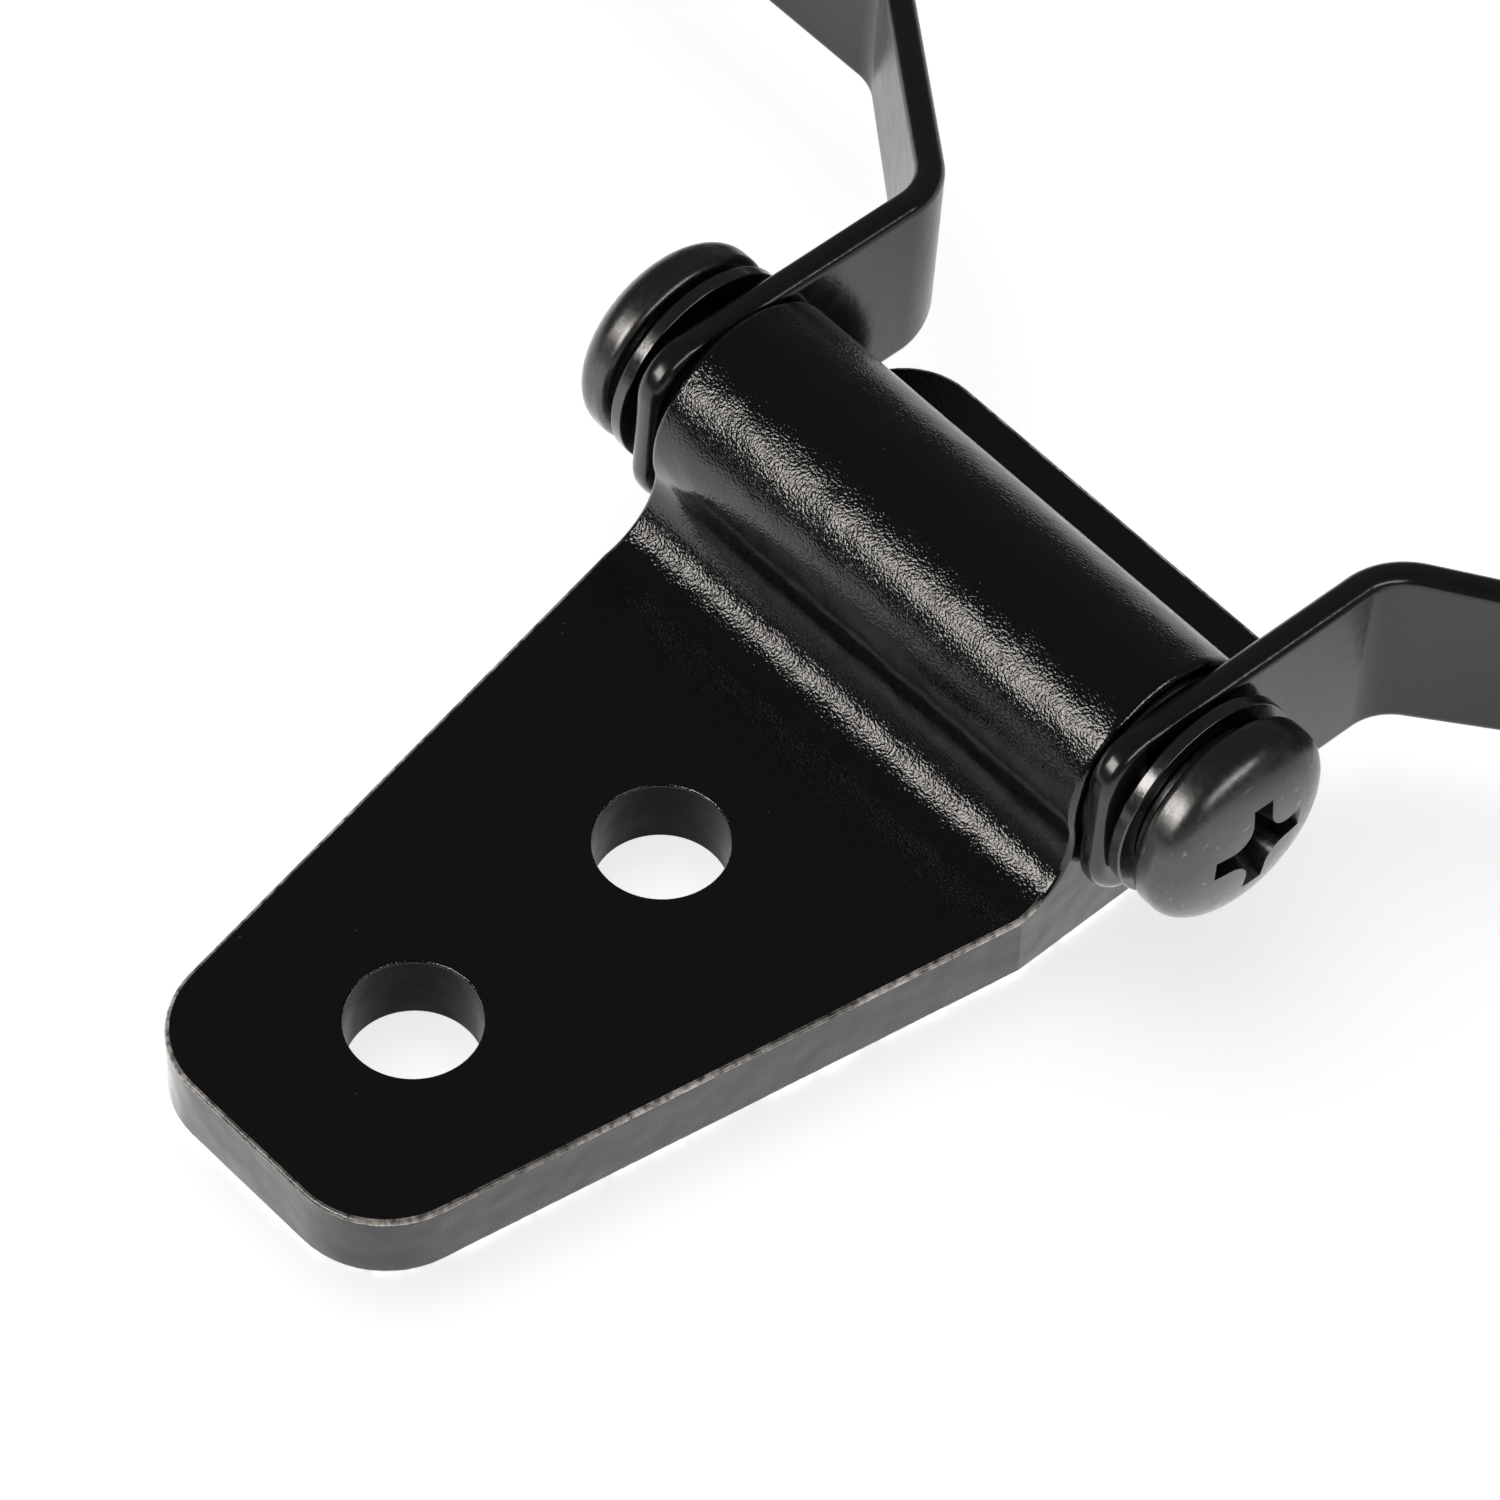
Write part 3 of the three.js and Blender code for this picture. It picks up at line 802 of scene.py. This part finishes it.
def build_lock_washers():
    """A spring washer: a ring of rectangular section with a slanting split at the top."""
    section = rounded_profile([
        (FLAT_WASHER_OUTER, WASHER_BORE_RADIUS, WASHER_EDGE),
        (HEAD_SEAT, WASHER_BORE_RADIUS, WASHER_EDGE),
        (HEAD_SEAT, LOCK_WASHER_RADIUS, LOCK_WASHER_EDGE),
        (FLAT_WASHER_OUTER, LOCK_WASHER_RADIUS, LOCK_WASHER_EDGE),
    ])
    vertices = []
    faces = []
    thickness = HEAD_SEAT - FLAT_WASHER_OUTER
    for step in range(FINE + 1):
        for along, radius in section:
            slant = LOCK_WASHER_SPLIT * (along - FLAT_WASHER_OUTER) / thickness
            start = LOCK_WASHER_SPLIT_AT + LOCK_WASHER_SPLIT / 2 + slant
            angle = start + (2 * math.pi - LOCK_WASHER_SPLIT) * step / FINE
            vertices.append((along, radius * math.cos(angle), radius * math.sin(angle)))
    count = len(section)
    for step in range(FINE):
        for i in range(count):
            a = step * count + i
            b = step * count + (i + 1) % count
            faces.append((a, b, b + count, a + count))
    faces.append(tuple(range(count)))
    faces.append(tuple(range(FINE * count, (FINE + 1) * count)))
    washer = new_object("right_spring_washer", vertices, faces)
    paint(washer, BLACK_STEEL)
    smooth(washer)
    left = copied(washer, "left_spring_washer", LEFT_HAND)
    install(washer, "right_lock_washer", "crossbar", ON_CROSSBAR)
    install(left, "left_lock_washer", "crossbar", ON_CROSSBAR)


def build_bushes():
    bore = SLEEVE_RADIUS + RUNNING_GAP
    flange_inner = BUSH_OUTER - BUSH_FLANGE
    bush = turned("right_flanged_bush", rounded_profile([
        (BUSH_INNER, bore, BUSH_BORE_EDGE),
        (BUSH_OUTER, bore, BUSH_BORE_EDGE),
        (BUSH_OUTER, BUSH_FLANGE_RADIUS, BUSH_FLANGE_EDGE),
        (flange_inner, BUSH_FLANGE_RADIUS, BUSH_FLANGE_EDGE),
        (flange_inner, BUSH_RADIUS, 0),
        (BUSH_INNER, BUSH_RADIUS, BUSH_NOSE_EDGE),
    ]))
    paint(bush, NYLON)
    smooth(bush)
    left = copied(bush, "left_flanged_bush", LEFT_HAND)
    install(bush, "right_bush", "strap", ON_PIVOT)
    install(left, "left_bush", "strap", ON_PIVOT)


def build_sleeve():
    sleeve = turned("threaded_sleeve", rounded_profile([
        (-SLEEVE_END, SLEEVE_BORE_RADIUS, SLEEVE_BORE_EDGE),
        (SLEEVE_END, SLEEVE_BORE_RADIUS, SLEEVE_BORE_EDGE),
        (SLEEVE_END, SLEEVE_RADIUS, SLEEVE_EDGE),
        (-SLEEVE_END, SLEEVE_RADIUS, SLEEVE_EDGE),
    ]))
    paint(sleeve, BLACK_STEEL)
    smooth(sleeve)
    install(sleeve, "pivot_sleeve", "crossbar", ON_CROSSBAR)


# ---- floor, light and camera ----

CAMERA_TARGET = Vector((-3.38, -8.99, 0)) * MM
CAMERA_DISTANCE = 436.85 * MM
CAMERA_AZIMUTH = math.radians(46.28)
CAMERA_ELEVATION = math.radians(52.87)
CAMERA_ROLL = math.radians(1.73)
CAMERA_LENS = 222.7


def build_camera():
    data = bpy.data.cameras.new("camera")
    data.lens = CAMERA_LENS
    data.clip_start = CAMERA_DISTANCE / 10
    data.clip_end = CAMERA_DISTANCE * 20
    camera = bpy.data.objects.new("camera", data)
    bpy.context.scene.collection.objects.link(camera)
    back = Vector((
        math.sin(CAMERA_AZIMUTH) * math.cos(CAMERA_ELEVATION),
        -math.cos(CAMERA_AZIMUTH) * math.cos(CAMERA_ELEVATION),
        math.sin(CAMERA_ELEVATION),
    ))
    turn = (-back).to_track_quat("-Z", "Y").to_matrix().to_4x4()
    place = Matrix.Translation(CAMERA_TARGET + back * CAMERA_DISTANCE)
    camera.matrix_world = place @ turn @ Matrix.Rotation(CAMERA_ROLL, 4, "Z")
    bpy.context.scene.camera = camera


def build_floor():
    """A wide white sheet that glows, so that the shadows on it stay faint. What the hinge mirrors of it
    is brighter than what the camera sees, and fades with the distance from the hinge and behind it."""
    half = 2.0
    corners = [(-half, -half, 0), (half, -half, 0), (half, half, 0), (-half, half, 0)]
    floor = new_object("floor", corners, [(0, 1, 2, 3)])
    floor.location.z = -0.0001
    material, tree, surface = shader("white_sheet")
    surface.inputs["Base Color"].default_value = grey(0.8)
    surface.inputs["Roughness"].default_value = 0.9
    surface.inputs["Specular IOR Level"].default_value = 0.0
    surface.inputs["Emission Color"].default_value = grey(1.0)
    place = millimetres(tree)
    away = put(tree, "ShaderNodeVectorMath", {0: place}, operation="LENGTH").outputs["Value"]
    behind = put(tree, "ShaderNodeSeparateXYZ", {0: place}).outputs["Y"]
    near = spread(tree, away, 60.0, 160.0, 1.3, 0.4)
    mirrored = math_node(tree, "MULTIPLY", near, spread(tree, behind, 6.0, 20.0, 1.0, 0.45))
    camera = put(tree, "ShaderNodeLightPath").outputs["Is Camera Ray"]
    seen = math_node(tree, "MULTIPLY", camera, 0.78)
    hidden = math_node(tree, "MULTIPLY", math_node(tree, "SUBTRACT", 1.0, camera), mirrored)
    tree.links.new(math_node(tree, "ADD", seen, hidden), surface.inputs["Emission Strength"])
    paint(floor, material)


def soft_box(name, azimuth, elevation, height, radiance, color, distance=0.60, width=0.50):
    """A rectangular light that faces the hinge and is only mirrored in it, so that the sheet shows no
    shadow of it. Azimuth 0 is in front (-Y), 90 on the right (+X)."""
    data = bpy.data.lights.new(name, "AREA")
    data.shape = "RECTANGLE"
    data.size = width
    data.size_y = height
    data.energy = radiance * math.pi * width * height
    data.color = color
    light = bpy.data.objects.new(name, data)
    light.visible_diffuse = False
    bpy.context.scene.collection.objects.link(light)
    a = math.radians(azimuth)
    e = math.radians(elevation)
    toward = Vector((math.sin(a) * math.cos(e), -math.cos(a) * math.cos(e), math.sin(e)))
    turn = toward.to_track_quat("Z", "Y").to_matrix().to_4x4()
    light.matrix_world = Matrix.Translation(toward * distance) @ turn


def build_world():
    """White for the camera, dark for what the glossy hinge mirrors, and for the sheet and all that is
    matt a broad glow from the left rear, which casts soft shadows to the right and to the front."""
    world = bpy.data.worlds.new("world")
    world.use_nodes = True
    world.cycles.sampling_method = "NONE"
    tree = world.node_tree
    path = put(tree, "ShaderNodeLightPath")
    white = put(tree, "ShaderNodeBackground", {"Color": grey(1.0), "Strength": 1.2})
    direction = put(tree, "ShaderNodeTexCoord").outputs["Generated"]
    left_rear = (-0.55, 0.25, 0.80)
    facing = put(tree, "ShaderNodeVectorMath", {0: direction, 1: left_rear}, operation="DOT_PRODUCT")
    lobe = math_node(tree, "POWER", math_node(tree, "MAXIMUM", facing.outputs["Value"], 0.0), 4.0)
    strength = math_node(tree, "MULTIPLY", lobe, 1.35)
    glow = put(tree, "ShaderNodeBackground", {"Color": grey(1.0), "Strength": strength})
    dark = tree.nodes["Background"]
    dark.inputs["Color"].default_value = grey(1.0)
    dark.inputs["Strength"].default_value = 0.12
    to_matt = {0: path.outputs["Is Diffuse Ray"], 1: dark.outputs[0], 2: glow.outputs[0]}
    lit = put(tree, "ShaderNodeMixShader", to_matt)
    to_camera = {0: path.outputs["Is Camera Ray"], 1: lit.outputs[0], 2: white.outputs[0]}
    seen = put(tree, "ShaderNodeMixShader", to_camera)
    tree.links.new(seen.outputs[0], tree.nodes["World Output"].inputs["Surface"])
    bpy.context.scene.world = world


build_strap_leaf()
build_arms()
build_screws()
build_lock_washers()
build_flat_washers()
build_bushes()
build_sleeve()
build_camera()
build_floor()
build_world()
soft_box("key", azimuth=-8, elevation=35, height=0.20, radiance=13.0, color=(1.0, 0.96, 0.91))
soft_box("side", azimuth=100, elevation=29, height=0.12, radiance=7.0, color=(1.0, 1.0, 1.0))
bpy.context.scene.view_settings.view_transform = "Standard"
